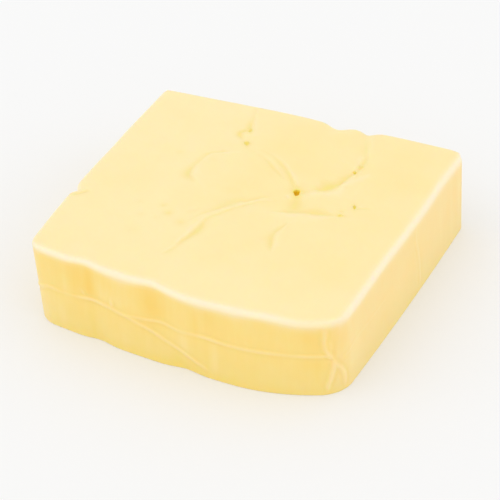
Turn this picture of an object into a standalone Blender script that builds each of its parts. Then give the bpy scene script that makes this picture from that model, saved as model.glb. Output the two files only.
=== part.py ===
"""A square slab of swiss cheese with soft, slightly lobed walls, few small eyes and thin raised creases.

Metres, +Z up. The slab lies flat on z = 0 with the middle of its box over the origin; the long bowed
wall is at -Y.
"""

import math

import bmesh
import bpy
from mathutils import Matrix, Vector

MM = 0.001

# Driving sizes of the plain slab
HALF_WIDTH = 58.2 * MM
HALF_DEPTH = 59.1 * MM
HEIGHT = 30.0 * MM
TOP_EDGE = 2.1 * MM
FOOT_EDGE = 0.5 * MM

# The middle of the finished block's box, in the frame that all the places below are given in; the block
# is moved by it in the end, so that its box stands over the origin
BOX_MIDDLE = Vector((-0.48 * MM, 0.34 * MM, 0.0))

# How finely the plain slab is cut before it is moved to its form
GRID_STEP = 3.4 * MM
WALL_ROWS = 6
TOP_EDGE_SEGMENTS = 4
FOOT_EDGE_SEGMENTS = 2

# Segments and rings of the ball that cuts an eye, and steps of a tube between its knots and round it
BALL_SEGMENTS = 12
BALL_RINGS = 8
TUBE_STEPS = 3
TUBE_ROUNDNESS = 2

# Lengths below this count as nothing where parts of the mesh are picked out or joined
SMALL = 0.01 * MM

# Edges that turn by more than this stay sharp
SHARP_ANGLE = math.radians(40.0)

# The four walls, by the side of each in x and y
FRONT = (0, -1)
RIGHT = (1, 0)
BACK = (0, 1)
LEFT = (-1, 0)

# Upright corners, as (side in x, side in y): radius at the foot and at the top
CORNER_RADII = {
    (1, -1): (6.8 * MM, 5.0 * MM),
    (-1, -1): (7.8 * MM, 5.4 * MM),
    (-1, 1): (3.5 * MM, 3.5 * MM),
    (1, 1): (6.6 * MM, 6.2 * MM),
}

# How far the walls lean for each unit of height: both side walls to -X, the front wall to the back
LEFT_LEAN = 0.060
RIGHT_LEAN = 0.066
FRONT_LEAN = 0.022

# Front wall: a long bow up to a place along it, a tight one from there on, and an overhang of the top
# at the right end, which starts at a place and grows over a length
FRONT_Y = -58.97 * MM
BOW_CHANGE_X = 19.0 * MM
LONG_BOW_RADIUS = 500.0 * MM
TIGHT_BOW_RADIUS = 60.0 * MM
OVERHANG = 1.9 * MM
OVERHANG_X = 30.0 * MM
OVERHANG_LENGTH = 14.0 * MM

# Folds down the front wall, in mm: place at the top and at the foot, width, depth at the top and foot
FRONT_FOLDS = ((-32.5, -29.3, 4.5, 1.20, 1.05), (-8.5, 3.0, 5.0, 1.50, 1.10))

# Flatter and fuller stretches of the front wall, in mm: place, width, and depth at the top (below 0 is
# fuller)
FRONT_STRETCHES = ((-21.0, 10.0, 0.60), (8.0, 8.0, -0.75))

# A shallow dent in the front wall, in mm: place, height, width, half height and depth
FRONT_DENT = (8.5, 21.0, 3.0, 4.0, 0.40)

# Back wall: the rearmost place of its shallow bow, and the bow's radius
BACK_X = 34.0 * MM
BACK_Y = 59.6 * MM
BACK_BOW_RADIUS = 1250.0 * MM

# A wide hollow and two folds in the back wall's upper part, in mm: place, width and depth at the top
BACK_HOLLOW = (13.5, 15.0, 1.10)
BACK_FOLDS = ((11.2, 4.2, 1.75), (22.6, 2.8, 1.35))

# Left wall: straight at the back, where it is a little fuller, and turning in from a place to the front
LEFT_X = -57.9 * MM
LEFT_TURN_Y = 8.0 * MM
LEFT_TURN_RADIUS = 600.0 * MM
LEFT_FULLER = 0.35 * MM
LEFT_FULLER_Y = 10.0 * MM
LEFT_FULLER_LENGTH = 16.0 * MM

# One short fold in the left wall: its place, width, depth, and the heights where it starts and is full
LEFT_FOLD_Y = -17.2 * MM
LEFT_FOLD_WIDTH = 2.3 * MM
LEFT_FOLD_DEPTH = 1.3 * MM
LEFT_FOLD_START = 18.0 * MM
LEFT_FOLD_FULL = 28.0 * MM

# Right wall: one shallow bow, more upright near the front, with a slight hollow in its upper part
RIGHT_X = 59.47 * MM
RIGHT_BOW_Y = 94.0 * MM
RIGHT_BOW_RADIUS = 1840.0 * MM
UPRIGHT = 0.95 * MM
UPRIGHT_Y = -12.0 * MM
UPRIGHT_LENGTH = 34.0 * MM
RIGHT_HOLLOW = 0.6 * MM
RIGHT_HOLLOW_Y = 38.0 * MM
RIGHT_HOLLOW_WIDTH = 12.0 * MM

# Places where a fold or corner lets the top edge sink, in mm: x, y, width in x, width in y and depth
TOP_DIPS = (
    (9.6, 57.0, 3.8, 5.0, 0.85),
    (21.2, 57.0, 2.8, 6.0, 0.80),
    (-57.5, -17.2, 3.5, 2.6, 0.60),
    (47.0, -56.0, 8.0, 5.0, 0.80),
)

# The top's slight waves: half their height, and in x and in y the radians that they turn in a metre and
# where they start
WAVE = 0.12 * MM
WAVE_IN_X = (70.0, 1.0)
WAVE_IN_Y = (55.0, 2.0)

# Eyes that the knife opened: x, y, the two radii and the depth in mm, and the turn in degrees
EYES = {
    "main": (12.4, 10.55, 2.10, 1.06, 1.9, 113.0),
    "rear_left": (-16.0, 32.4, 1.30, 0.85, 0.5, 112.0),
    "rear_slit": (-18.4, 41.0, 1.25, 0.75, 0.4, 105.0),
    "right_upper": (26.2, 30.1, 0.95, 0.60, 0.8, 113.0),
    "right_end": (26.8, 34.0, 1.30, 0.80, 0.3, 100.0),
    "right_lower": (33.7, 10.1, 1.20, 0.42, 0.6, 113.0),
    "right_small": (31.2, 3.5, 0.98, 0.70, 0.4, 20.0),
}

# Slits, folds and shallow dents of the top face: x, y, half width and depth in mm at each knot
GROOVES = {
    "long_slit": (
        (-12.0, -37.2, 0.7, 0.12), (-10.8, -31.0, 0.8, 0.20), (-9.1, -24.2, 1.3, 0.28),
        (-8.9, -18.4, 0.9, 0.18), (-8.2, -14.6, 0.7, 0.14), (-5.3, -10.2, 0.6, 0.15),
        (-3.2, -6.9, 0.6, 0.13), (0.4, -2.6, 0.5, 0.12), (3.4, 0.3, 0.5, 0.10),
    ),
    "second_slit": (
        (-10.3, -12.5, 0.7, 0.11), (-8.2, -9.4, 0.9, 0.16), (-5.0, -4.0, 1.9, 0.18),
        (-0.8, -0.9, 1.0, 0.18), (2.0, 2.0, 0.8, 0.15),
    ),
    "hollow": (
        (20.5, 16.7, 2.1, 0.34), (21.6, 18.1, 2.9, 0.35), (22.8, 19.7, 2.2, 0.30),
        (23.7, 21.2, 1.2, 0.26),
    ),
    "right_slit": (
        (23.7, 21.2, 1.0, 0.24), (24.2, 22.9, 1.0, 0.26), (24.7, 25.1, 1.1, 0.22),
        (25.5, 27.5, 0.8, 0.18), (26.3, 30.4, 0.8, 0.20), (26.6, 35.0, 1.0, 0.22),
        (26.7, 40.3, 1.0, 0.20), (26.5, 44.0, 0.9, 0.13),
    ),
    "lower_slit": (
        (11.9, -2.4, 1.0, 0.17), (14.2, -1.3, 1.6, 0.27), (19.9, 0.7, 1.3, 0.22),
        (22.8, 1.5, 1.8, 0.28), (26.0, 2.1, 1.5, 0.23), (28.3, 2.4, 0.9, 0.15),
    ),
    "main_tail": ((13.6, 7.3, 1.2, 0.20), (14.4, 4.9, 2.0, 0.28), (15.2, 2.0, 2.4, 0.27)),
    "left_crescent": (
        (-21.4, 23.9, 0.7, 0.17), (-25.4, 20.6, 0.7, 0.15), (-26.8, 11.6, 1.0, 0.15),
        (-26.8, 8.2, 1.4, 0.22), (-25.9, 5.2, 1.5, 0.24), (-23.0, 3.0, 0.9, 0.10),
    ),
    "near_crescent": (
        (16.5, -8.6, 0.5, 0.12), (15.6, -12.0, 0.8, 0.19), (15.4, -17.8, 1.1, 0.24),
        (16.6, -21.3, 1.0, 0.24),
    ),
    "rear_crescent": (
        (-18.9, 34.6, 0.8, 0.16), (-20.6, 36.6, 1.2, 0.30), (-21.1, 38.6, 1.1, 0.30),
        (-19.5, 40.8, 0.9, 0.26),
    ),
    "rear_furrow": ((-18.6, 41.5, 1.1, 0.30), (-19.6, 44.0, 1.1, 0.27), (-20.6, 48.5, 0.7, 0.12)),
    "fold_left": (
        (-5.0, 24.9, 0.8, 0.12), (-0.8, 21.4, 0.9, 0.17), (2.0, 19.1, 0.7, 0.12),
    ),
    "fold_right": (
        (-1.8, 26.8, 0.7, 0.10), (1.2, 24.4, 0.9, 0.18), (4.3, 21.2, 0.9, 0.20),
        (8.0, 16.8, 0.9, 0.24), (11.0, 12.8, 0.9, 0.24),
    ),
    "left_fold": ((-58.2, -21.8, 0.9, 0.10), (-56.2, -20.8, 0.9, 0.20), (-53.6, -17.6, 0.8, 0.20)),
}

# Raised creases of the walls: half width and height in mm, then the wall, the place along it and the
# height above the foot in mm at each knot
CREASES = {
    "seam": (
        0.62, 0.24,
        (
            (LEFT, 44.0, 15.0), (LEFT, 26.0, 15.8), (LEFT, 8.0, 14.2), (LEFT, -12.0, 14.4),
            (LEFT, -30.0, 13.6), (LEFT, -46.0, 12.2), (LEFT, -55.0, 12.0), (FRONT, -56.6, 13.6),
            (FRONT, -51.2, 15.5), (FRONT, -38.5, 15.6), (FRONT, -34.4, 16.1), (FRONT, -30.6, 16.2),
            (FRONT, -24.8, 15.6), (FRONT, -20.6, 14.7), (FRONT, -15.2, 15.3), (FRONT, -8.2, 16.3),
            (FRONT, -4.4, 16.5), (FRONT, 0.0, 15.8), (FRONT, 4.0, 15.8), (FRONT, 7.6, 16.2),
            (FRONT, 14.0, 16.3), (FRONT, 20.2, 15.7), (FRONT, 31.4, 15.7), (FRONT, 38.0, 15.9),
            (FRONT, 46.0, 16.2), (FRONT, 55.0, 16.0), (FRONT, 56.6, 14.6),
        ),
    ),
    "branch": (
        0.64, 0.24,
        (
            (FRONT, -20.6, 14.8), (FRONT, -15.4, 13.6), (FRONT, -8.6, 12.1), (FRONT, -2.6, 9.5),
            (FRONT, 3.6, 7.1), (FRONT, 9.8, 4.8), (FRONT, 13.6, 3.2),
        ),
    ),
    "corner_upper": (
        0.75, 0.26,
        (
            (FRONT, 53.3, 26.6), (FRONT, 53.1, 22.0), (FRONT, 53.5, 19.0), (FRONT, 54.3, 17.6),
            (FRONT, 55.1, 16.2), (FRONT, 56.3, 14.5),
        ),
    ),
    "corner_lower": (
        0.78, 0.30,
        (
            (FRONT, 56.3, 14.5), (FRONT, 56.7, 13.1), (FRONT, 56.5, 10.7), (FRONT, 55.4, 6.4),
            (FRONT, 54.6, 4.2), (FRONT, 54.3, 1.6),
        ),
    ),
    "corner_spur": (
        0.68, 0.24,
        (
            (FRONT, 56.9, 13.1), (FRONT, 57.7, 11.5), (RIGHT, -58.5, 9.6), (RIGHT, -57.7, 7.9),
            (RIGHT, -57.1, 4.5), (RIGHT, -57.1, 1.6),
        ),
    ),
    "spur_left": (0.50, 0.16, ((FRONT, -37.2, 19.6), (FRONT, -35.2, 16.4))),
    "spur_middle": (0.62, 0.20, ((FRONT, -24.6, 20.0), (FRONT, -24.7, 15.6))),
    "right_upright": (
        0.72, 0.14,
        (
            (RIGHT, 4.8, 25.5), (RIGHT, 4.6, 22.1), (RIGHT, 6.0, 17.7), (RIGHT, 7.2, 12.3),
            (RIGHT, 7.6, 6.9), (RIGHT, 7.6, 3.0),
        ),
    ),
    "left_branch": (0.42, 0.22, ((LEFT, -8.0, 14.4), (LEFT, 4.0, 19.5), (LEFT, 13.0, 25.5))),
    "seam_back": (
        0.52, 0.26,
        (
            (BACK, -44.0, 15.4), (BACK, -24.0, 14.2), (BACK, -4.0, 15.8), (BACK, 18.0, 15.0),
            (BACK, 40.0, 13.8),
        ),
    ),
    "back_fold_left": (0.42, 0.22, ((BACK, 12.0, 27.0), (BACK, 9.0, 21.0), (BACK, 2.0, 15.8))),
    "back_fold_right": (0.42, 0.22, ((BACK, 24.6, 27.0), (BACK, 27.0, 20.0), (BACK, 33.0, 14.4))),
}

# Colour of the cheese, and how far light passes into it
CHEESE_COLOUR = (0.95, 0.76, 0.36, 1.0)
CHEESE_ROUGHNESS = 0.45
LIGHT_SHARE = 0.25
LIGHT_DEPTHS = (6.0 * MM, 3.0 * MM, 1.0 * MM)


def smooth_step(t):
    """0 below 0, 1 above 1, and a soft rise between."""
    t = min(max(t, 0.0), 1.0)
    return t * t * (3.0 - 2.0 * t)


def bell(distance, width):
    """1 at no distance, falling off evenly over about the width."""
    return math.exp(-((distance / width) ** 2))


def arc_drop(distance, radius):
    """How far a large arc has dropped at a distance from its highest point."""
    return distance * distance / (2.0 * radius)


def front_wall(x, z):
    """y of the front wall: a long flat bow, a tighter turn to the right, and pressed-in folds."""
    up = z / HEIGHT
    foot_x = x + LEFT_LEAN * z
    bow_radius = LONG_BOW_RADIUS if foot_x < BOW_CHANGE_X else TIGHT_BOW_RADIUS
    y = FRONT_Y + arc_drop(foot_x - BOW_CHANGE_X, bow_radius) + FRONT_LEAN * z
    y -= OVERHANG * up * smooth_step((foot_x - OVERHANG_X) / OVERHANG_LENGTH)
    for top_x, bottom_x, width, top_depth, bottom_depth in FRONT_FOLDS:
        fold_x = (bottom_x + (top_x - bottom_x) * up) * MM
        depth = (top_depth * up**2 + bottom_depth * (1.0 - up) ** 2) * MM
        y += depth * bell(foot_x - fold_x, width * MM)
    for middle, width, depth in FRONT_STRETCHES:
        y += depth * MM * up * bell(foot_x - middle * MM, width * MM)
    middle, height, width, half_height, depth = FRONT_DENT
    return y + depth * MM * bell(foot_x - middle * MM, width * MM) * bell(z - height * MM, half_height * MM)


def back_wall(x, z):
    """y of the back wall: nearly straight, with a hollow and two folds that run in from the top edge."""
    up = z / HEIGHT
    foot_x = x + LEFT_LEAN * z
    y = BACK_Y - arc_drop(foot_x - BACK_X, BACK_BOW_RADIUS)
    middle, width, depth = BACK_HOLLOW
    y -= depth * MM * up * bell(foot_x - middle * MM, width * MM)
    for fold_x, width, depth in BACK_FOLDS:
        y -= depth * MM * up**2 * bell(foot_x - fold_x * MM, width * MM)
    return y


def left_wall(y, z):
    """x of the left wall: straight at the back, turning in gently at the front, with one small fold."""
    x = LEFT_X - LEFT_LEAN * z + arc_drop(min(y - LEFT_TURN_Y, 0.0), LEFT_TURN_RADIUS)
    x -= LEFT_FULLER * smooth_step((y - LEFT_FULLER_Y) / LEFT_FULLER_LENGTH)
    fold_share = smooth_step((z - LEFT_FOLD_START) / (LEFT_FOLD_FULL - LEFT_FOLD_START))
    return x + LEFT_FOLD_DEPTH * fold_share * bell(y - LEFT_FOLD_Y, LEFT_FOLD_WIDTH)


def right_wall(y, z):
    """x of the right wall: a shallow bow, more upright near the front and leaning more near the back."""
    up = z / HEIGHT
    lean = RIGHT_LEAN * z - UPRIGHT * up * smooth_step((UPRIGHT_Y - y) / UPRIGHT_LENGTH)
    lean += RIGHT_HOLLOW * up * bell(y - RIGHT_HOLLOW_Y, RIGHT_HOLLOW_WIDTH)
    return RIGHT_X - arc_drop(y - RIGHT_BOW_Y, RIGHT_BOW_RADIUS) - lean


def top_dip(x, y):
    """How far the top lies below the full height: folds and a corner in its edge, and slight waves."""
    (turns_x, start_x), (turns_y, start_y) = WAVE_IN_X, WAVE_IN_Y
    dip = WAVE * (1.0 + math.sin(turns_x * x + start_x) * math.sin(turns_y * y + start_y))
    for dip_x, dip_y, width_x, width_y, depth in TOP_DIPS:
        dip += depth * MM * bell(x - dip_x * MM, width_x * MM) * bell(y - dip_y * MM, width_y * MM)
    return dip


def round_corner(x, y, z):
    """Turns the square plan of the plain slab into one with round upright corners."""
    side = (1 if x > 0.0 else -1, 1 if y > 0.0 else -1)
    foot_radius, top_radius = CORNER_RADII[side]
    radius = foot_radius + (top_radius - foot_radius) * z / HEIGHT
    u = (side[0] * x - (HALF_WIDTH - radius)) / radius
    v = (side[1] * y - (HALF_DEPTH - radius)) / radius
    if u <= 0.0 or v <= 0.0:
        return x, y
    x = side[0] * (HALF_WIDTH - radius + radius * u * math.sqrt(1.0 - v * v / 2.0))
    y = side[1] * (HALF_DEPTH - radius + radius * v * math.sqrt(1.0 - u * u / 2.0))
    return x, y


def on_slab(x, y, z):
    """Moves a point of the plain slab to its place on the cheese."""
    x, y = round_corner(x, y, z)
    across = (x + HALF_WIDTH) / (2.0 * HALF_WIDTH)
    along = (y + HALF_DEPTH) / (2.0 * HALF_DEPTH)
    # Each wall's place depends a little on the other's, so both are worked out twice
    for _ in range(2):
        y = front_wall(x, z) * (1.0 - along) + back_wall(x, z) * along
        x = left_wall(y, z) * (1.0 - across) + right_wall(y, z) * across
    z -= top_dip(x, y) * (z / HEIGHT) ** 3
    return Vector((x, y, z))


def on_top(x, y):
    """The point of the top face over a place in plan."""
    return Vector((x, y, HEIGHT - top_dip(x, y)))


def on_wall(walk, z):
    """The point of the walls at a walk round the plain slab, from its front left corner, and a height."""
    width, depth = 2.0 * HALF_WIDTH, 2.0 * HALF_DEPTH
    walk %= 2.0 * (width + depth)
    if walk < width:
        return on_slab(walk - HALF_WIDTH, -HALF_DEPTH, z)
    if walk < width + depth:
        return on_slab(HALF_WIDTH, walk - width - HALF_DEPTH, z)
    if walk < 2.0 * width + depth:
        return on_slab(HALF_WIDTH + width + depth - walk, HALF_DEPTH, z)
    return on_slab(-HALF_WIDTH, HALF_DEPTH + 2.0 * width + depth - walk, z)


def walk_of(wall, along):
    """How far round the plain slab a place lies, from the front left corner and along the front."""
    width, depth = 2.0 * HALF_WIDTH, 2.0 * HALF_DEPTH
    if wall == FRONT:
        return HALF_WIDTH + along
    if wall == RIGHT:
        return width + HALF_DEPTH + along
    if wall == BACK:
        return width + depth + HALF_WIDTH - along
    return 2.0 * width + depth + HALF_DEPTH - along


def out_of_wall(walk, z):
    """The direction straight out of the walls at a place."""
    step = 0.2 * MM
    along = on_wall(walk + step, z) - on_wall(walk - step, z)
    upward = on_wall(walk, z + step) - on_wall(walk, z - step)
    return along.cross(upward).normalized()


def make_collection(name):
    """A new collection under the scene's own."""
    collection = bpy.data.collections.new(name)
    bpy.context.scene.collection.children.link(collection)
    return collection


def make_object(name, bm, collection):
    """An object from a bmesh, which is freed."""
    mesh = bpy.data.meshes.new(name)
    bm.to_mesh(mesh)
    bm.free()
    item = bpy.data.objects.new(name, mesh)
    collection.objects.link(item)
    return item


def is_round_edge(edge, height):
    """True for the edges that run round the plain slab at a height."""
    return all(abs(vert.co.z - height) < SMALL for vert in edge.verts)


def plain_slab():
    """A box with rounded top and foot edges, sliced into a grid that can follow the cheese's form."""
    bm = bmesh.new()
    bmesh.ops.create_cube(bm, size=1.0)
    size = Matrix.Diagonal((2.0 * HALF_WIDTH, 2.0 * HALF_DEPTH, HEIGHT, 1.0))
    place = Matrix.Translation((0.0, 0.0, HEIGHT / 2.0))
    bmesh.ops.transform(bm, matrix=place @ size, verts=bm.verts)
    for height, radius, segments in (
        (HEIGHT, TOP_EDGE, TOP_EDGE_SEGMENTS), (0.0, FOOT_EDGE, FOOT_EDGE_SEGMENTS),
    ):
        edges = [edge for edge in bm.edges if is_round_edge(edge, height)]
        bmesh.ops.bevel(
            bm, geom=edges, offset=radius, segments=segments, profile=0.5, affect="EDGES"
        )
    for half, normal in ((HALF_WIDTH, Vector((1, 0, 0))), (HALF_DEPTH, Vector((0, 1, 0)))):
        inner = half - TOP_EDGE
        steps = round(2.0 * inner / GRID_STEP)
        for step in range(steps + 1):
            slice_slab(bm, normal * (inner * (2.0 * step / steps - 1.0)), normal)
    for row in range(1, WALL_ROWS):
        height = FOOT_EDGE + (HEIGHT - TOP_EDGE - FOOT_EDGE) * row / WALL_ROWS
        slice_slab(bm, Vector((0.0, 0.0, height)), Vector((0, 0, 1)))
    return bm


def slice_slab(bm, place, normal):
    """Cuts the faces of the slab along one plane and keeps both sides."""
    geometry = bm.verts[:] + bm.edges[:] + bm.faces[:]
    bmesh.ops.bisect_plane(bm, geom=geometry, dist=SMALL / 2.0, plane_co=place, plane_no=normal)


def make_slab(collection):
    """The cheese's body: the plain slab moved to the true form, with one flat face underneath."""
    bm = plain_slab()
    for vert in bm.verts:
        vert.co = on_slab(*vert.co)
    underside = [face for face in bm.faces if all(vert.co.z < SMALL for vert in face.verts)]
    bmesh.ops.dissolve_faces(bm, faces=underside, use_verts=False)
    bmesh.ops.recalc_face_normals(bm, faces=bm.faces)
    return make_object("cheese_slab", bm, collection)


def make_ball(name, centre, radii, turn, collection):
    """An ellipsoid, turned about the upright axis."""
    bm = bmesh.new()
    place = Matrix.Translation(centre) @ Matrix.Rotation(math.radians(turn), 4, "Z")
    matrix = place @ Matrix.Diagonal((*radii, 1.0))
    bmesh.ops.create_uvsphere(
        bm, u_segments=BALL_SEGMENTS, v_segments=BALL_RINGS, radius=1.0, matrix=matrix
    )
    return make_object(name, bm, collection)


def make_tube(name, points, radii, collection):
    """A smooth tube through the points, with a radius at each, as a closed mesh."""
    curve = bpy.data.curves.new(name, "CURVE")
    curve.dimensions = "3D"
    curve.resolution_u = TUBE_STEPS
    curve.bevel_depth = 1.0 * MM
    curve.bevel_resolution = TUBE_ROUNDNESS
    curve.use_fill_caps = True
    spline = curve.splines.new("BEZIER")
    spline.bezier_points.add(len(points) - 1)
    for knot, point, radius in zip(spline.bezier_points, points, radii):
        knot.co = point
        knot.radius = radius / curve.bevel_depth
        knot.handle_left_type = "AUTO"
        knot.handle_right_type = "AUTO"
    guide = bpy.data.objects.new(name + "_path", curve)
    bpy.context.scene.collection.objects.link(guide)
    bpy.context.view_layer.update()
    ready = guide.evaluated_get(bpy.context.evaluated_depsgraph_get())
    mesh = bpy.data.meshes.new_from_object(ready)
    bpy.data.objects.remove(guide)
    bm = bmesh.new()
    bm.from_mesh(mesh)
    bmesh.ops.remove_doubles(bm, verts=bm.verts, dist=SMALL)
    bmesh.ops.recalc_face_normals(bm, faces=bm.faces)
    bpy.data.meshes.remove(mesh)
    return make_object(name, bm, collection)


def bead_circle(half_width, reach):
    """Radius of the circle that crosses a surface over a width and reaches past it, and its offset."""
    radius = (half_width**2 + reach**2) / (2.0 * reach)
    return radius, radius - reach


def make_groove(name, knots, collection):
    """A cutter that sinks into the top face; each knot is x, y, half width and depth in mm."""
    points = []
    radii = []
    for x, y, half_width, depth in knots:
        radius, lift = bead_circle(half_width * MM, depth * MM)
        points.append(on_top(x * MM, y * MM) + Vector((0.0, 0.0, lift)))
        radii.append(radius)
    make_tube(name, points, radii, collection)


def make_crease(name, half_width, height, knots, collection):
    """A thin raised crease of the walls; each knot is a wall, the place along it and the height in mm."""
    radius, depth = bead_circle(half_width * MM, height * MM)
    points = []
    for wall, along, z in knots:
        walk = walk_of(wall, along * MM)
        points.append(on_wall(walk, z * MM) - out_of_wall(walk, z * MM) * depth)
    make_tube(name, points, [radius] * len(points), collection)


def make_cutters(collection):
    """Every hollow of the top face, as closed bodies to be taken away."""
    for name, (x, y, length, width, depth, turn) in EYES.items():
        radii = (length * MM, width * MM, depth * MM)
        make_ball("eye_" + name, on_top(x * MM, y * MM), radii, turn, collection)
    for name, knots in GROOVES.items():
        make_groove("groove_" + name, knots, collection)
    for item in collection.objects:
        item.hide_render = True
        item.display_type = "WIRE"


def make_creases(collection):
    """Every raised crease of the walls, sunk into them a little so that they can be joined."""
    for name, (half_width, height, knots) in CREASES.items():
        make_crease("crease_" + name, half_width, height, knots, collection)


def apply_boolean(item, operation, collection):
    """Joins a collection to an object, or takes it away, and keeps only the result."""
    step = item.modifiers.new(operation.lower(), "BOOLEAN")
    step.operation = operation
    step.operand_type = "COLLECTION"
    step.collection = collection
    step.solver = "EXACT"
    bpy.context.view_layer.update()
    ready = item.evaluated_get(bpy.context.evaluated_depsgraph_get())
    mesh = bpy.data.meshes.new_from_object(ready)
    item.modifiers.remove(step)
    item.data = mesh
    for used in list(collection.objects):
        bpy.data.objects.remove(used)
    bpy.data.collections.remove(collection)


def cheese_material():
    """Pale, slightly waxy yellow."""
    material = bpy.data.materials.new("cheese")
    material.use_nodes = True
    shader = material.node_tree.nodes["Principled BSDF"]
    shader.inputs["Base Color"].default_value = CHEESE_COLOUR
    shader.inputs["Roughness"].default_value = CHEESE_ROUGHNESS
    shader.inputs["Metallic"].default_value = 0.0
    shader.inputs["Subsurface Weight"].default_value = LIGHT_SHARE
    shader.inputs["Subsurface Radius"].default_value = LIGHT_DEPTHS
    material.diffuse_color = CHEESE_COLOUR
    return material


def finish_surface(item):
    """One material, and round faces shaded smooth."""
    item.data.materials.clear()
    item.data.materials.append(cheese_material())
    item.data.shade_smooth()
    item.data.set_sharp_from_angle(angle=SHARP_ANGLE)


def main():
    for item in list(bpy.data.objects):
        bpy.data.objects.remove(item)
    parts = make_collection("swiss_cheese")
    slab = make_slab(parts)
    creases = make_collection("creases")
    make_creases(creases)
    apply_boolean(slab, "UNION", creases)
    cutters = make_collection("cutters")
    make_cutters(cutters)
    apply_boolean(slab, "DIFFERENCE", cutters)
    slab.data.transform(Matrix.Translation(-BOX_MIDDLE))
    finish_surface(slab)


main()
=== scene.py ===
"""The looks of a block of swiss cheese: its fine surface, its material, a soft studio and the camera."""

import math

import bmesh
import bpy
import numpy as np
from mathutils import Matrix, Vector


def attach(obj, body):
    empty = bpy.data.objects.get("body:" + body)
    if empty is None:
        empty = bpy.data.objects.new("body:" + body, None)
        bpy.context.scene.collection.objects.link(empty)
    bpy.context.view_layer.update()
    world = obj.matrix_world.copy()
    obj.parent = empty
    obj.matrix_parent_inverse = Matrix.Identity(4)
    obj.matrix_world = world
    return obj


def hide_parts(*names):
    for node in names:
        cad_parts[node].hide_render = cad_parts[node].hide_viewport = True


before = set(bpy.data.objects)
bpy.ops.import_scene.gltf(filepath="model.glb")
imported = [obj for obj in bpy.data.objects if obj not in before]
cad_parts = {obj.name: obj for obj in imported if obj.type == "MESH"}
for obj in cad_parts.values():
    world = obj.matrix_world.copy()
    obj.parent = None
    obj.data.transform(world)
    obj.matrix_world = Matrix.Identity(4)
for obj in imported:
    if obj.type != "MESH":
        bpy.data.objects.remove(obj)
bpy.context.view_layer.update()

MM = 0.001

# Driving sizes of the plain slab
HALF_WIDTH = 58.2 * MM
HALF_DEPTH = 59.1 * MM
HEIGHT = 30.0 * MM
TOP_EDGE = 2.1 * MM
FOOT_EDGE = 0.5 * MM

# The middle of the finished block's box, in the frame that all the places below are given in; the block
# is moved by it in the end, so that its box stands over the origin
BOX_MIDDLE = np.array((-0.48 * MM, 0.34 * MM, 0.0))

# How finely the plain slab is cut before it is moved to its form, and cuts of each edge after that
GRID_STEP = 3.3 * MM
WALL_ROWS = 8
TOP_EDGE_SEGMENTS = 5
FOOT_EDGE_SEGMENTS = 2
FLAT_CUTS = 2

# Lengths below this count as nothing where parts of the mesh are picked out
SMALL = 0.01 * MM

# The four walls, by the side of each in x and y
FRONT = (0, -1)
RIGHT = (1, 0)
BACK = (0, 1)
LEFT = (-1, 0)

# Upright corners, as (side in x, side in y): radius at the foot and at the top
CORNER_RADII = {
    (1, -1): (6.8 * MM, 5.0 * MM),
    (-1, -1): (7.8 * MM, 5.4 * MM),
    (-1, 1): (3.5 * MM, 3.5 * MM),
    (1, 1): (6.6 * MM, 6.2 * MM),
}

# How far the walls lean for each unit of height: both side walls to -X, the front wall to the back
LEFT_LEAN = 0.060
RIGHT_LEAN = 0.066
FRONT_LEAN = 0.022

# Front wall: a long bow up to a place along it, a tight one from there on, and an overhang of the top
# at the right end, which starts at a place and grows over a length
FRONT_Y = -58.97 * MM
BOW_CHANGE_X = 19.0 * MM
LONG_BOW_RADIUS = 500.0 * MM
TIGHT_BOW_RADIUS = 60.0 * MM
OVERHANG = 1.9 * MM
OVERHANG_X = 30.0 * MM
OVERHANG_LENGTH = 14.0 * MM

# Folds down the front wall, in mm: place at the top and at the foot, width, depth at the top and foot
FRONT_FOLDS = ((-32.5, -29.3, 4.5, 1.20, 1.05), (-8.5, 3.0, 5.0, 1.50, 1.10))

# Flatter and fuller stretches of the front wall, in mm: place, width, and depth at the top (below 0 is
# fuller)
FRONT_STRETCHES = ((-21.0, 10.0, 0.60), (8.0, 8.0, -0.75))

# A shallow dent in the front wall, in mm: place, height, width, half height and depth
FRONT_DENT = (8.5, 21.0, 3.0, 4.0, 0.40)

# Back wall: the rearmost place of its shallow bow, and the bow's radius
BACK_X = 34.0 * MM
BACK_Y = 59.6 * MM
BACK_BOW_RADIUS = 1250.0 * MM

# A wide hollow and two folds in the back wall's upper part, in mm: place, width and depth at the top
BACK_HOLLOW = (13.5, 15.0, 1.10)
BACK_FOLDS = ((11.2, 4.2, 1.75), (22.6, 2.8, 1.35))

# Left wall: straight at the back, where it is a little fuller, and turning in from a place to the front
LEFT_X = -57.9 * MM
LEFT_TURN_Y = 8.0 * MM
LEFT_TURN_RADIUS = 600.0 * MM
LEFT_FULLER = 0.35 * MM
LEFT_FULLER_Y = 10.0 * MM
LEFT_FULLER_LENGTH = 16.0 * MM

# One short fold in the left wall: its place, width, depth, and the heights where it starts and is full
LEFT_FOLD_Y = -17.2 * MM
LEFT_FOLD_WIDTH = 2.3 * MM
LEFT_FOLD_DEPTH = 1.3 * MM
LEFT_FOLD_START = 18.0 * MM
LEFT_FOLD_FULL = 28.0 * MM

# Right wall: one shallow bow, more upright near the front, with a slight hollow in its upper part
RIGHT_X = 59.47 * MM
RIGHT_BOW_Y = 94.0 * MM
RIGHT_BOW_RADIUS = 1840.0 * MM
UPRIGHT = 0.95 * MM
UPRIGHT_Y = -12.0 * MM
UPRIGHT_LENGTH = 34.0 * MM
RIGHT_HOLLOW = 0.6 * MM
RIGHT_HOLLOW_Y = 38.0 * MM
RIGHT_HOLLOW_WIDTH = 12.0 * MM

# Where a fold or corner lets the top edge sink, in mm: x, y, width in x, width in y and depth
TOP_DIPS = (
    (9.6, 57.0, 3.8, 5.0, 0.85),
    (21.2, 57.0, 2.8, 6.0, 0.80),
    (-57.5, -17.2, 3.5, 2.6, 0.60),
    (47.0, -56.0, 8.0, 5.0, 0.80),
)

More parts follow.
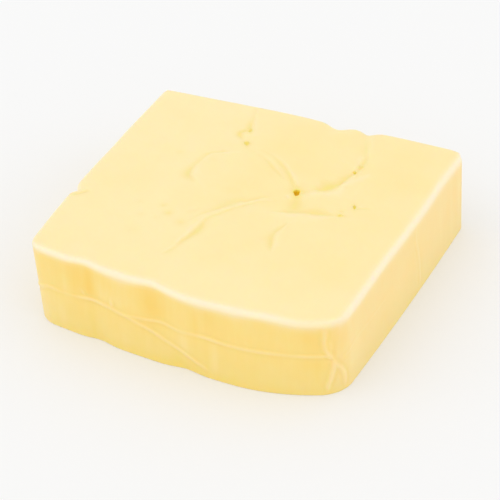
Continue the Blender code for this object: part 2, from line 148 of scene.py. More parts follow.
# The top's slight waves: half their height, and in x and in y the radians that they turn in a metre and
# where they start
WAVE = 0.12 * MM
WAVE_IN_X = (70.0, 1.0)
WAVE_IN_Y = (55.0, 2.0)

# Eyes that the knife opened: x, y, the two radii and the depth in mm, the turn in degrees, and how
# strong the painted shade is inside them
EYES = {
    "main": (12.4, 10.55, 2.10, 1.06, 1.9, 113.0, 1.0),
    "rear_left": (-16.0, 32.4, 1.30, 0.85, 0.5, 112.0, 0.58),
    "rear_slit": (-18.4, 41.0, 1.25, 0.75, 0.4, 105.0, 0.48),
    "right_upper": (26.2, 30.1, 0.95, 0.60, 0.8, 113.0, 0.66),
    "right_end": (26.8, 34.0, 1.30, 0.80, 0.3, 100.0, 0.38),
    "right_lower": (33.7, 10.1, 1.20, 0.42, 0.6, 113.0, 0.66),
    "right_small": (31.2, 3.5, 0.98, 0.70, 0.4, 20.0, 0.50),
}

# Slits and shallow dents of the top face: which side has a raised lip (1 is left of the route, -1 is
# right, 0 is neither), then x, y, half width and depth in mm at each knot
GROOVES = {
    "long_slit": (1, (
        (-13.3, -39.8, 0.5, 0.04), (-12.0, -37.2, 0.7, 0.15), (-11.1, -34.5, 0.6, 0.10),
        (-10.8, -31.0, 0.8, 0.20), (-9.7, -27.2, 1.0, 0.25), (-9.1, -24.2, 1.3, 0.28),
        (-8.8, -21.6, 1.3, 0.26), (-8.9, -18.4, 0.9, 0.18), (-8.2, -14.6, 0.7, 0.13),
        (-5.3, -10.2, 0.6, 0.15), (-3.2, -6.9, 0.6, 0.13), (0.4, -2.6, 0.5, 0.12), (3.4, 0.3, 0.5, 0.08),
        (7.8, 2.9, 0.4, 0.03),
    )),
    "second_slit": (-1, (
        (-14.0, -20.9, 0.6, 0.03), (-12.5, -16.4, 0.6, 0.06), (-10.3, -12.5, 0.7, 0.11),
        (-8.2, -9.4, 0.9, 0.16), (-6.6, -6.6, 1.5, 0.18), (-5.0, -4.0, 1.9, 0.18), (-3.2, -1.9, 1.5, 0.18),
        (-0.8, -0.9, 1.0, 0.18), (2.0, 2.0, 0.8, 0.15), (5.0, 4.3, 0.6, 0.05),
    )),
    "side_slit": (1, ((-16.4, -15.6, 0.7, 0.04), (-15.4, -14.2, 0.9, 0.08), (-13.6, -11.6, 0.6, 0.03))),
    "hollow": (-1, (
        (18.9, 15.3, 1.7, 0.28), (20.4, 16.4, 2.3, 0.34), (21.6, 18.0, 2.9, 0.35), (22.8, 19.7, 2.2, 0.32),
        (23.7, 21.2, 1.3, 0.28),
    )),
    "right_slit": (-1, (
        (23.7, 21.2, 1.1, 0.26), (24.2, 22.9, 1.2, 0.30), (24.6, 25.1, 1.3, 0.29), (25.3, 27.5, 1.0, 0.26),
        (26.3, 30.4, 0.8, 0.20), (26.6, 33.0, 0.7, 0.08),
    )),
    "upper_slit": (1, (
        (26.5, 31.5, 0.8, 0.20), (26.7, 35.0, 1.0, 0.24), (26.5, 39.0, 1.0, 0.20), (26.0, 42.0, 0.8, 0.04),
    )),
    "upper_edge": (-1, (
        (25.6, 41.5, 0.9, 0.08), (24.6, 45.0, 1.1, 0.13), (23.4, 49.0, 1.2, 0.09), (21.8, 53.5, 1.3, 0.05),
    )),
    "lower_slit": (-1, (
        (8.4, -3.6, 0.5, 0.04), (11.9, -2.4, 0.9, 0.11), (14.2, -1.3, 1.5, 0.22), (16.6, -0.3, 1.5, 0.23),
        (19.9, 0.7, 1.3, 0.22), (22.8, 1.5, 1.8, 0.28), (26.0, 2.1, 1.5, 0.23), (28.3, 2.4, 0.9, 0.15),
        (31.0, 3.0, 0.6, 0.08),
    )),
    "main_tail": (0, ((13.6, 7.3, 1.2, 0.20), (14.4, 4.9, 2.0, 0.28), (15.2, 2.0, 2.4, 0.27))),
    "left_crescent": (1, (
        (-21.4, 23.9, 0.7, 0.17), (-23.4, 22.6, 0.6, 0.10), (-25.4, 20.6, 0.7, 0.15),
        (-26.3, 15.6, 0.9, 0.13), (-26.8, 11.6, 1.0, 0.15), (-26.8, 8.2, 1.4, 0.22),
        (-25.9, 5.2, 1.5, 0.24), (-23.0, 3.0, 0.9, 0.10),
    )),
    "near_crescent": (1, (
        (16.5, -8.6, 0.5, 0.12), (15.6, -12.0, 0.8, 0.19), (15.0, -14.7, 0.9, 0.20),
        (15.4, -17.8, 1.1, 0.24), (16.6, -21.3, 1.0, 0.24), (17.6, -24.2, 0.5, 0.08),
    )),
    "rear_crescent": (0, (
        (-18.9, 34.6, 0.8, 0.16), (-20.6, 36.6, 1.2, 0.30), (-21.1, 38.6, 1.1, 0.30),
        (-19.5, 40.8, 0.9, 0.26),
    )),
    "rear_furrow": (-1, (
        (-18.6, 41.5, 1.1, 0.30), (-19.6, 44.0, 1.1, 0.27), (-20.6, 48.5, 0.7, 0.12),
        (-22.2, 55.0, 0.5, 0.06),
    )),
    "fold_left": (1, (
        (-12.4, 28.6, 0.7, 0.04), (-8.5, 26.9, 0.7, 0.04), (-5.0, 24.9, 0.8, 0.12),
        (-0.8, 21.4, 0.9, 0.17), (2.0, 19.1, 0.7, 0.12), (5.4, 15.9, 0.4, 0.04),
    )),
    "fold_right": (1, (
        (-9.4, 30.2, 0.6, 0.04), (-5.0, 28.8, 0.6, 0.05), (-1.8, 26.8, 0.7, 0.10), (1.2, 24.4, 0.9, 0.18),
        (4.3, 21.2, 0.9, 0.20), (8.0, 16.8, 0.9, 0.24), (11.0, 12.8, 0.9, 0.24),
    )),
    "left_fold": (1, ((-58.2, -21.8, 0.9, 0.10), (-56.2, -20.8, 0.9, 0.20), (-53.6, -17.6, 0.8, 0.20))),
    "small_tail": (0, ((35.0, 9.6, 0.5, 0.18), (38.6, 10.9, 0.4, 0.10))),
}

# Slight dents (depth above 0) and swellings of the top face: x, y, radius and depth in mm
DENTS = (
    (-25.6, -14.8, 1.1, 0.17), (-22.0, -18.4, 1.5, 0.19), (-15.8, -21.7, 1.7, 0.13),
    (-35.1, 17.6, 1.3, 0.08), (-22.4, 18.0, 1.0, 0.06), (-28.9, -32.0, 1.8, 0.05), (18.9, 8.4, 3.2, -0.30),
    (-29.9, -22.8, 1.3, 0.06), (-33.7, -16.0, 1.2, 0.06), (-24.3, -22.2, 1.2, 0.05),
    (30.5, 5.9, 1.1, 0.14), (14.2, -18.2, 2.2, 0.07), (46.0, 30.0, 6.0, 0.04), (-44.0, -6.0, 8.0, 0.04),
    (-17.4, 36.6, 1.1, -0.20), (13.7, 11.5, 2.3, 0.22), (11.7, 13.6, 1.3, 0.19),
)

# Raised creases of the walls: half width and height in mm, then by wall the place along it, the height
# above the table in mm and the share of the full rise at each knot
CREASES = {
    "seam": (0.62, 0.24, {
        LEFT: (
            (44.0, 15.0, 1.0), (26.0, 15.8, 0.9), (8.0, 14.2, 1.0), (-12.0, 14.4, 0.9), (-30.0, 13.6, 1.0),
            (-46.0, 12.2, 0.9), (-55.0, 12.0, 0.9),
        ),
        FRONT: (
            (-56.6, 13.6, 0.8), (-51.2, 15.5, 0.8), (-46.5, 15.4, 0.45), (-43.6, 15.3, 0.2),
            (-38.5, 15.6, 0.6), (-34.4, 16.1, 1.3), (-30.6, 16.2, 1.3), (-24.8, 15.6, 0.9),
            (-20.6, 14.7, 0.9), (-15.2, 15.3, 0.5), (-8.2, 16.3, 1.0), (-4.4, 16.5, 0.9), (0.0, 15.8, 0.8),
            (4.0, 15.8, 0.5), (7.6, 16.2, 0.6), (14.0, 16.3, 1.3), (20.2, 15.7, 0.9), (31.4, 15.7, 1.0),
            (38.0, 15.9, 0.8), (42.2, 16.1, 0.6), (46.0, 16.2, 0.9), (51.8, 16.2, 0.8), (55.0, 16.0, 0.9),
            (56.3, 14.6, 1.0),
        ),
    }),
    "seam_right": (0.55, 0.06, {
        RIGHT: (
            (-57.8, 14.0, 1.0), (-55.6, 14.8, 1.0), (-48.0, 16.6, 1.0), (-39.8, 16.2, 1.0),
            (-22.8, 16.1, 1.0),
        ),
    }),
    "branch": (0.64, 0.24, {
        FRONT: (
            (-20.6, 14.8, 1.1), (-15.4, 13.6, 0.7), (-8.6, 12.1, 1.1), (-2.6, 9.5, 0.9), (3.6, 7.1, 1.1),
            (9.8, 4.8, 0.8), (13.6, 3.2, 0.3),
        ),
    }),
    "corner_upper": (0.75, 0.28, {
        FRONT: (
            (53.3, 28.0, 0.4), (53.3, 25.2, 0.7), (53.1, 22.0, 0.8), (53.3, 20.4, 0.7), (53.5, 19.0, 0.8),
            (54.3, 17.6, 1.1), (55.1, 16.2, 1.4), (56.3, 14.5, 1.2),
        ),
    }),
    "corner_fork": (0.60, 0.12, {
        FRONT: ((54.9, 23.0, 0.4), (55.1, 21.6, 0.8), (55.5, 19.8, 0.8), (55.5, 16.6, 0.8)),
    }),
    "corner_lower": (0.78, 0.30, {
        FRONT: (
            (56.3, 14.5, 1.1), (56.7, 13.1, 1.1), (56.5, 10.7, 1.1), (55.9, 8.5, 1.0), (55.4, 6.4, 1.0),
            (54.6, 4.2, 1.0), (54.3, 1.6, 1.2),
        ),
    }),
    "corner_spur": (0.68, 0.24, {
        FRONT: ((56.9, 13.1, 0.8), (57.7, 11.5, 0.9)),
        RIGHT: (
            (-58.5, 9.6, 1.0), (-57.7, 7.9, 1.2), (-57.3, 6.5, 1.2), (-57.1, 4.5, 1.0), (-57.1, 1.6, 0.7),
        ),
    }),
    "spur_left": (0.50, 0.16, {FRONT: ((-37.2, 19.6, 0.8), (-35.2, 16.4, 1.0))}),
    "spur_middle": (0.62, 0.23, {FRONT: ((-24.6, 20.0, 0.8), (-24.6, 17.6, 1.0), (-24.7, 15.6, 1.0))}),
    "right_upright": (0.72, 0.12, {
        RIGHT: (
            (5.0, 28.3, 1.0), (4.8, 25.5, 0.7), (4.6, 22.1, 0.9), (6.0, 17.7, 1.0), (7.2, 12.3, 0.8),
            (7.6, 6.9, 1.0), (7.6, 3.0, 1.0),
        ),
    }),
    "left_branch": (0.42, 0.22, {LEFT: ((-8.0, 14.4, 1.0), (4.0, 19.5, 1.0), (13.0, 25.5, 1.0))}),
    "seam_back": (0.52, 0.26, {
        BACK: (
            (-44.0, 15.4, 1.0), (-24.0, 14.2, 0.9), (-4.0, 15.8, 1.0), (18.0, 15.0, 0.8),
            (40.0, 13.8, 1.0),
        ),
    }),
    "back_fold_left": (0.42, 0.22, {BACK: ((12.0, 27.0, 1.0), (9.0, 21.0, 1.0), (2.0, 15.8, 1.0))}),
    "back_fold_right": (0.42, 0.22, {BACK: ((24.6, 27.0, 1.0), (27.0, 20.0, 1.0), (33.0, 14.4, 1.0))}),
}

# Deeper (above 0) and paler patches, by wall, the deeper ones partly painted shade in the folds and along
# the foot: the place along it, the height, the half width and half height in mm, and how much
TONES_AND_SHADE = {
    FRONT: (
        (-33.2, 23.5, 1.7, 8.0, 0.6), (-36.5, 22.0, 4.2, 7.0, 0.55), (-34.4, 6.0, 2.6, 6.0, 0.28),
        (-44.0, 23.0, 4.5, 6.0, 0.2), (-32.5, 19.5, 3.0, 3.0, 0.25), (-7.8, 22.5, 5.4, 7.5, 0.85),
        (8.8, 21.0, 1.3, 6.0, 0.35), (14.6, 24.5, 2.6, 5.0, 0.3), (49.5, 22.5, 5.0, 7.0, 0.42),
        (57.0, 22.0, 2.4, 8.0, 0.15), (-52.0, 8.0, 5.0, 8.0, -0.4), (-18.0, 24.0, 5.0, 6.0, -0.1),
        (-25.0, 19.0, 4.5, 4.0, -0.35), (3.9, 11.0, 1.7, 4.5, -0.45), (15.8, 9.0, 1.5, 6.0, -0.45),
        (50.0, 12.0, 5.0, 2.5, 0.25), (0.0, 0.0, 58.0, 2.6, 0.5), (4.0, 3.0, 8.0, 3.0, 0.4),
        (-43.5, 20.0, 1.3, 6.0, -0.35), (-39.6, 20.0, 1.2, 6.0, 0.18), (-36.7, 20.0, 0.9, 6.0, -0.13),
        (-33.7, 20.0, 0.9, 6.0, 0.16), (-28.7, 20.0, 1.0, 5.0, -0.25), (-2.4, 20.0, 0.9, 6.0, -0.10),
        (0.4, 20.0, 0.9, 6.0, 0.10), (-45.9, 6.0, 1.8, 6.0, -0.20), (-38.3, 6.0, 1.3, 6.0, 0.14),
        (-35.5, 6.0, 0.8, 6.0, -0.15), (-33.0, 6.0, 0.7, 6.0, 0.12), (-26.6, 6.0, 1.3, 6.0, -0.12),
        (-2.5, 6.0, 1.0, 5.0, -0.15), (12.6, 6.0, 0.8, 5.0, 0.09),
    ),
    RIGHT: (
        (-52.0, 15.0, 6.0, 9.0, -0.3), (50.5, 15.0, 1.2, 13.0, -0.6), (56.0, 16.0, 3.0, 16.0, 0.3),
        (0.0, 0.0, 60.0, 2.6, 0.4), (38.1, 15.0, 1.3, 14.0, 0.09), (46.7, 15.0, 1.1, 14.0, 0.12),
        (10.4, 12.0, 1.8, 10.0, 0.10), (-48.4, 15.0, 1.2, 10.0, -0.20), (-43.0, 15.0, 1.5, 10.0, 0.08),
        (30.5, 15.0, 1.4, 14.0, -0.32), (42.4, 15.0, 1.2, 14.0, -0.36), (6.2, 15.0, 1.5, 13.0, -0.16),
    ),
}

# The mesh is cut finer within a reach of the grooves and creases, down to a target edge length, and out
# to a share of the eyes' radii; the eyes get one more cut of their own
REFINE_STEPS = ((1.9 * MM, 0.62 * MM), (1.3 * MM, 0.34 * MM))
EYE_REFINE_OUT = 2.2
EYE_LAST_OUT = 1.5
EYE_LAST_LENGTH = 0.18 * MM

# Points above this height belong to the top face
TOP_FACE_FROM = 0.9 * HEIGHT

# Grooves and creases: how far apart their samples lie, how many are compared with the mesh at once, and
# how far they reach, in half widths
ROUTE_STEP = 0.3 * MM
SAMPLES_AT_ONCE = 64
ROUTE_REACH = 4.2

# Ends of the creases: samples over which they rise, the share that they start with, and how much less
# their width changes
CREASE_END_SAMPLES = 8.0
CREASE_END_SHARE = 0.2
CREASE_END_POWER = 0.3

# Grooves: width of the side with the lip and of the softer one, in half widths, the depth that counts as
# full, the most that counts, and the share and power of the painted shade in them
LIP_SIDE_WIDTH = 0.68
OPEN_SIDE_WIDTH = 1.25
FULL_GROOVE = 0.28 * MM
MOST_GROOVE = 1.3
GROOVE_SHADE = 0.40
GROOVE_SHADE_POWER = 0.75

# Lips of the grooves: their place and width in half widths, their height as a share of the depth, and how
# fast their painted highlight goes where a groove has painted shade
LIP_PLACE = 1.45
LIP_WIDTH = 0.8
LIP_HEIGHT = 0.55
LIP_FADE = 2.0

# Creases: the height that counts as full and the most that counts, then the shallow ditches along them:
# place and width in half widths, depth as a share of the height, and how fast their painted shade ends at
# a crease
FULL_CREASE = 0.26 * MM
MOST_CREASE = 1.2
DITCH_PLACE = 2.1
DITCH_WIDTH = 0.8
DITCH_DEPTH = 0.25
DITCH_FADE = 3.0

# Eyes, with 1 at the edge: its waves, as number in a round, half height and turn for each metre of the
# eye's place in x or y, and the height, place and width of the slight swelling round it
EYE_WAVES = ((3.0, 0.09, 900.0), (5.0, 0.06, 700.0))
EYE_SWELLING = 0.05 * MM
EYE_SWELLING_PLACE = 1.4
EYE_SWELLING_WIDTH = 0.35

# Painted shade of the eyes: where it ends, over what length it grows, and the strength and width of the
# faint ring round it; and the strength of the dents' painted shade for each mm of depth
EYE_SHADE_END = 1.45
EYE_SHADE_LENGTH = 0.70
EYE_SHADE_RING = 0.75
EYE_SHADE_RING_WIDTH = 1.9
DENT_SHADE = 1.8

# The painted highlight along the rim: how far round the top edge its middle lies, its widths over the
# top face and down the walls, and how much of it there is away from the front
RIM_MIDDLE = math.radians(48.0)
RIM_TOP_WIDTH = 1.25 * MM
RIM_SIDE_WIDTH = 1.85 * MM
RIM_FRONT_WIDTH = 1.3 * MM
RIM_REAR_SHARE = 0.4

# Where the painted highlight of the front rim is wider or (below 0) narrower, in mm: place, reach and
# change
RIM_CHANGES = (
    (-37.0, 4.0, -0.35), (-20.7, 5.0, 0.95), (-5.0, 5.0, -0.25), (12.0, 9.0, 0.70), (23.0, 5.0, 0.85),
    (38.0, 8.0, 0.45),
)

# The near right corner, where the painted highlight is wider and fainter: place, reach in x and in y,
# and both changes
RIM_CORNER_X = 51.0 * MM
RIM_CORNER_REACH_X = 10.0 * MM
RIM_CORNER_REACH_Y = 4.0 * MM
RIM_CORNER_WIDER = 1.2 * MM
RIM_CORNER_FAINTER = 0.40

# How much painted shade the top face has: at the least, and how much more at the back right, where it
# starts and over what length it grows in x and in y
TOP_SHADE_LEAST = 0.06
TOP_SHADE_MORE = 0.44
TOP_SHADE_IN_X = (-32.0 * MM, 32.0 * MM)
TOP_SHADE_IN_Y = (-58.0 * MM, 40.0 * MM)

# Stretches of the top face with more painted shade (above 0) and with painted light, in mm: x, y, reach
# in x and in y, and the change
TOP_SHADES = (
    (6.0, 27.0, 14.0, 22.0, 0.32), (36.0, 40.0, 20.0, 16.0, 0.26), (-3.6, 7.5, 14.0, 7.0, 0.28),
    (3.0, 37.0, 9.0, 10.0, 0.25), (-11.0, -26.0, 8.0, 9.0, -0.30), (46.0, 26.0, 10.0, 18.0, 0.20),
    (48.5, -30.0, 8.0, 11.0, 0.30), (18.0, -3.2, 14.0, 2.3, -0.50), (-7.0, 1.6, 5.0, 2.4, 0.50),
)

# Where the colours change: from front to right wall, which has a painted sheen, from top to walls, and to
# the walls' lower part, which has painted shade
SIDE_BLEND = 5.0 * MM
WALL_START = 0.2 * MM
WALL_BLEND = 1.2 * TOP_EDGE
LOW_START = 17.0 * MM
LOW_BLEND = 14.0 * MM

# The share of the way to a wall from which a point counts as on it
ON_WALL = 0.93

# Colours of the cheese
# The top's lit and shaded colours for its painted shade, also mixed by its own blotches; both are paler
# than the walls, partly as the cut face's own colour and partly as a painted reflection of the bright
# studio
TOP_COLOUR_PALE_AND_LIT = (0.970, 0.798, 0.414, 1.0)
TOP_COLOUR_DEEP_AND_SHADED = (0.970, 0.770, 0.346, 1.0)
WALL_COLOUR = (0.980, 0.716, 0.226, 1.0)
# Darker toward the foot of the walls: painted shade
WALL_FOOT_SHADE_COLOUR = (0.925, 0.710, 0.236, 1.0)
# The walls' own deeper colour, also painted shade in the folds and along the foot
WALL_DEEP_AND_SHADE_COLOUR = (0.975, 0.650, 0.145, 1.0)
# The deeper wall colour with painted shade toward the foot
WALL_DEEP_FOOT_SHADE_COLOUR = (0.910, 0.690, 0.140, 1.0)
WALL_COLOUR_PALE = (0.985, 0.770, 0.340, 1.0)
# The right wall's colour, paler than the front wall's by a painted sheen
SIDE_SHEEN_COLOUR = (0.970, 0.708, 0.275, 1.0)
# The right wall's sheen colour with painted shade toward the foot
SIDE_SHEEN_FOOT_SHADE_COLOUR = (0.910, 0.695, 0.265, 1.0)
# Painted highlight along the rounded top edge
RIM_HIGHLIGHT_COLOUR = (0.990, 0.850, 0.620, 1.0)
# Painted highlight on the grooves' raised lips
LIP_HIGHLIGHT_COLOUR = (0.985, 0.805, 0.460, 1.0)
CREASE_COLOUR = (0.990, 0.745, 0.345, 1.0)
# Painted shade in the ditches beside the creases
DITCH_SHADE_COLOUR = (0.915, 0.670, 0.195, 1.0)
# Painted shade down in the dents, slits and eyes, deepest in the eyes
DENT_SHADE_COLOUR = (0.930, 0.740, 0.288, 1.0)
EYE_SHADE_COLOUR = (0.900, 0.760, 0.120, 1.0)
EYE_DEEP_SHADE_COLOUR = (0.850, 0.550, 0.001, 1.0)

# Colours laid over these, one after another: the number of each point that says where, what it is
# multiplied by, and the colour: a painted highlight on the rim, the paler creases, painted shade in their
# ditches, where a crease's number is below 0, and a painted highlight on the grooves' lips
LAID_OVER = (
    ("rim", 0.9, RIM_HIGHLIGHT_COLOUR), ("crease", 0.72, CREASE_COLOUR), ("crease", -0.45, DITCH_SHADE_COLOUR),
    ("lip", 0.7, LIP_HIGHLIGHT_COLOUR),
)

# Painted shade in the eyes, slits and dents: from where to where in its number each colour comes in
CLEFT_SHADE_COLOURS = ((0.0, 0.35, DENT_SHADE_COLOUR), (0.35, 0.70, EYE_SHADE_COLOUR), (0.68, 0.90, EYE_DEEP_SHADE_COLOUR))

# Soft blotches and upright streaks of colour: scale, detail, and the noise that becomes 0 and 1, how flat
# the streaks' noise is pressed in z, and how much they change the walls and the top
BLOTCH = (90.0, 3.0, 0.35, 0.65)
STREAK = (700.0, 2.0, 0.3, 0.7)
STREAK_SQUEEZE = 0.10
WALL_STREAKS = 0.15
WALL_BLOTCHES = 0.22
TOP_BLOTCHES = 0.3

# Surface: how rough it is, its fine grain (scale, detail and roughness of the noise, then strength and
# depth), and how much light passes in and how far
ROUGHNESS = 0.36
GRAIN = (1400.0, 2.0, 0.6)
GRAIN_STRENGTH = 0.25
GRAIN_DEPTH = 0.05 * MM
LIGHT_PASSING = 0.30
LIGHT_RADII = (1.0, 0.55, 0.20)
LIGHT_DEPTH = 1.2 * MM

# The table and the soft studio: a tent all round, and lights by azimuth, elevation and strength
FLOOR_SIZE = 40.0
FLOOR_COLOUR = (0.70, 0.70, 0.70, 1.0)
FLOOR_ROUGHNESS = 0.9
FLOOR_GLOW_COLOUR = (1.0, 1.0, 0.99, 1.0)
FLOOR_GLOW = 0.205
TENT_COLOUR = (1.0, 1.0, 1.0, 1.0)
TENT_STRENGTH = 0.965
LIGHTS = {"front_left_light": (-50.0, 40.0, 0.34), "right_light": (95.0, 15.0, 0.33)}
LIGHT_ANGLE = math.radians(60.0)

# The photograph's view: a long lens, looking down on the top face from the front and right, and the
# nearest and farthest that it sees
CAMERA_TARGET = Vector((11.75 * MM, -27.0 * MM, HEIGHT))
CAMERA_DISTANCE = 551.7 * MM
CAMERA_AZIMUTH = 24.0
CAMERA_ELEVATION = 35.5
CAMERA_LENS = 122.4
CAMERA_NEAREST = 0.01
CAMERA_FARTHEST = 100.0


def smooth_step(t):
    """0 below 0, 1 above 1, and a soft rise between."""
    t = np.clip(t, 0.0, 1.0)
    return t * t * (3.0 - 2.0 * t)


def grown(place, start, length):
    """0 up to a start, and 1 from a length past it on."""
    return smooth_step((place - start) / length)


def bell(distance, width):
    """1 at no distance, falling off evenly over about the width."""
    return np.exp(-((distance / width) ** 2))


def arc_drop(distance, radius):
    """How far a large arc has dropped at a distance from its highest point."""
    return distance * distance / (2.0 * radius)


def front_wall(x, z):
    """y of the front wall: a long flat bow, a tighter turn to the right, and pressed-in folds."""
    up = z / HEIGHT
    foot_x = x + LEFT_LEAN * z
    bow_radius = np.where(foot_x < BOW_CHANGE_X, LONG_BOW_RADIUS, TIGHT_BOW_RADIUS)
    y = FRONT_Y + arc_drop(foot_x - BOW_CHANGE_X, bow_radius) + FRONT_LEAN * z
    y = y - OVERHANG * up * grown(foot_x, OVERHANG_X, OVERHANG_LENGTH)
    for top_x, bottom_x, width, top_depth, bottom_depth in FRONT_FOLDS:
        fold_x = (bottom_x + (top_x - bottom_x) * up) * MM
        depth = (top_depth * up**2 + bottom_depth * (1.0 - up) ** 2) * MM
        y = y + depth * bell(foot_x - fold_x, width * MM)
    for middle, width, depth in FRONT_STRETCHES:
        y = y + depth * MM * up * bell(foot_x - middle * MM, width * MM)
    middle, height, width, half_height, depth = FRONT_DENT
    dent = depth * MM * bell(foot_x - middle * MM, width * MM)
    return y + dent * bell(z - height * MM, half_height * MM)


def back_wall(x, z):
    """y of the back wall: nearly straight, with a hollow and two folds that run in from the top edge."""
    up = z / HEIGHT
    foot_x = x + LEFT_LEAN * z
    y = BACK_Y - arc_drop(foot_x - BACK_X, BACK_BOW_RADIUS)
    middle, width, depth = BACK_HOLLOW
    y = y - depth * MM * up * bell(foot_x - middle * MM, width * MM)
    for fold_x, width, depth in BACK_FOLDS:
        y = y - depth * MM * up**2 * bell(foot_x - fold_x * MM, width * MM)
    return y


def left_wall(y, z):
    """x of the left wall: straight at the back, turning in gently at the front, with one small fold."""
    x = LEFT_X - LEFT_LEAN * z + arc_drop(np.minimum(y - LEFT_TURN_Y, 0.0), LEFT_TURN_RADIUS)
    x = x - LEFT_FULLER * grown(y, LEFT_FULLER_Y, LEFT_FULLER_LENGTH)
    fold_share = grown(z, LEFT_FOLD_START, LEFT_FOLD_FULL - LEFT_FOLD_START)
    return x + LEFT_FOLD_DEPTH * fold_share * bell(y - LEFT_FOLD_Y, LEFT_FOLD_WIDTH)


def right_wall(y, z):
    """x of the right wall: a shallow bow, more upright near the front and leaning more near the back."""
    up = z / HEIGHT
    lean = RIGHT_LEAN * z - UPRIGHT * up * smooth_step((UPRIGHT_Y - y) / UPRIGHT_LENGTH)
    lean = lean + RIGHT_HOLLOW * up * bell(y - RIGHT_HOLLOW_Y, RIGHT_HOLLOW_WIDTH)
    return RIGHT_X - arc_drop(y - RIGHT_BOW_Y, RIGHT_BOW_RADIUS) - lean


def top_dip(x, y):
    """How far the top lies below the full height: folds and a corner in its edge, and slight waves."""
    (turns_x, start_x), (turns_y, start_y) = WAVE_IN_X, WAVE_IN_Y
    dip = WAVE * (1.0 + np.sin(turns_x * x + start_x) * np.sin(turns_y * y + start_y))
    for dip_x, dip_y, width_x, width_y, depth in TOP_DIPS:
        dip = dip + depth * MM * bell(x - dip_x * MM, width_x * MM) * bell(y - dip_y * MM, width_y * MM)
    return dip


def round_corner(points):
    """Turns the square plan of the plain slab into one with round upright corners."""
    points = points.copy()
    up = points[:, 2] / HEIGHT
    for side, (foot_radius, top_radius) in CORNER_RADII.items():
        radius = foot_radius + (top_radius - foot_radius) * up
        u = (side[0] * points[:, 0] - (HALF_WIDTH - radius)) / radius
        v = (side[1] * points[:, 1] - (HALF_DEPTH - radius)) / radius
        inside = (u > 0.0) & (v > 0.0)
        u, v, radius = u[inside], v[inside], radius[inside]
        points[inside, 0] = side[0] * (HALF_WIDTH - radius + radius * u * np.sqrt(1.0 - v * v / 2.0))
        points[inside, 1] = side[1] * (HALF_DEPTH - radius + radius * v * np.sqrt(1.0 - u * u / 2.0))
    return points


def on_slab(points):
    """Moves points of the plain slab to their places on the cheese."""
    points = round_corner(points)
    x, y, z = points.T
    across = (x + HALF_WIDTH) / (2.0 * HALF_WIDTH)
    along = (y + HALF_DEPTH) / (2.0 * HALF_DEPTH)
    # Each wall's place depends a little on the other's, so both are worked out twice
    for _ in range(2):
        y = front_wall(x, z) * (1.0 - along) + back_wall(x, z) * along
        x = left_wall(y, z) * (1.0 - across) + right_wall(y, z) * across
    z = z - top_dip(x, y) * (z / HEIGHT) ** 3
    return np.stack((x, y, z), axis=1)


def on_top(x, y):
    """Points of the top face over places in plan."""
    return np.stack((x, y, HEIGHT - top_dip(x, y)), axis=1)


def through_knots(knots, step):
    """A smooth line through rows of numbers, with a sample about every step along its first columns."""
    knots = np.array(knots, float)
    ends = np.vstack((2.0 * knots[0] - knots[1], knots, 2.0 * knots[-1] - knots[-2]))
    samples = []
    for a, b, c, d in zip(ends, ends[1:], ends[2:], ends[3:]):
        count = max(2, math.ceil(np.linalg.norm((c - b)[:2]) / step))
        t = np.arange(count)[:, None] / count
        samples.append(
            0.5 * (2.0 * b + (c - a) * t + (2.0 * a - 5.0 * b + 4.0 * c - d) * t**2
                   + (3.0 * b - a - 3.0 * c + d) * t**3)
        )
    samples.append(knots[-1:])
    return np.vstack(samples)


class Route:
    """A line on the cheese: its points, half widths, heights (below 0 for a groove) and lip side."""

    def __init__(self, points, half_widths, rises, lip=0):
        self.points = points
        self.half_widths = half_widths
        self.rises = rises
        self.lip = lip
        self.tangents = np.gradient(points, axis=0)

    def nearest(self, places, reach):
        """The places within reach of the line, and for each its nearest sample and distance."""
        low = self.points.min(axis=0) - reach
        high = self.points.max(axis=0) + reach
        near = np.flatnonzero(((places > low) & (places < high)).all(axis=1))
        best = np.full(len(near), np.inf)
        index = np.zeros(len(near), int)
        for start in range(0, len(self.points), SAMPLES_AT_ONCE):
            part = self.points[start:start + SAMPLES_AT_ONCE]
            squares = ((places[near, None, :] - part[None, :, :]) ** 2).sum(axis=2)
            here = squares.argmin(axis=1)
            square = squares[np.arange(len(near)), here]
            better = square < best
            best[better] = square[better]
            index[better] = here[better] + start
        distance = np.sqrt(best)
        close = distance < reach
        return near[close], index[close], distance[close]


def plain_wall_points(rows):
    """Points of the plain slab's walls from rows of a walk round it and a height, both in metres."""
    width, depth = 2.0 * HALF_WIDTH, 2.0 * HALF_DEPTH
    walk = rows[:, 0] % (2.0 * (width + depth))
    corners = np.cumsum((0.0, width, depth, width, depth))
    x = np.interp(walk, corners, (-HALF_WIDTH, HALF_WIDTH, HALF_WIDTH, -HALF_WIDTH, -HALF_WIDTH))
    y = np.interp(walk, corners, (-HALF_DEPTH, -HALF_DEPTH, HALF_DEPTH, HALF_DEPTH, -HALF_DEPTH))
    return np.stack((x, y, rows[:, 1]), axis=1)


def walk_of(wall, along):
    """How far round the plain slab a place lies, from the front left corner; below 0 on the left wall."""
    width, depth = 2.0 * HALF_WIDTH, 2.0 * HALF_DEPTH
    if wall == FRONT:
        return HALF_WIDTH + along
    if wall == RIGHT:
        return width + HALF_DEPTH + along
    if wall == BACK:
        return width + depth + HALF_WIDTH - along
    return -HALF_DEPTH - along


def groove_route(lip, knots):
    """A groove of the top face as a line on the cheese."""
    rows = through_knots(np.array(knots) * MM, ROUTE_STEP)
    return Route(on_top(rows[:, 0], rows[:, 1]), rows[:, 2], -rows[:, 3], lip)


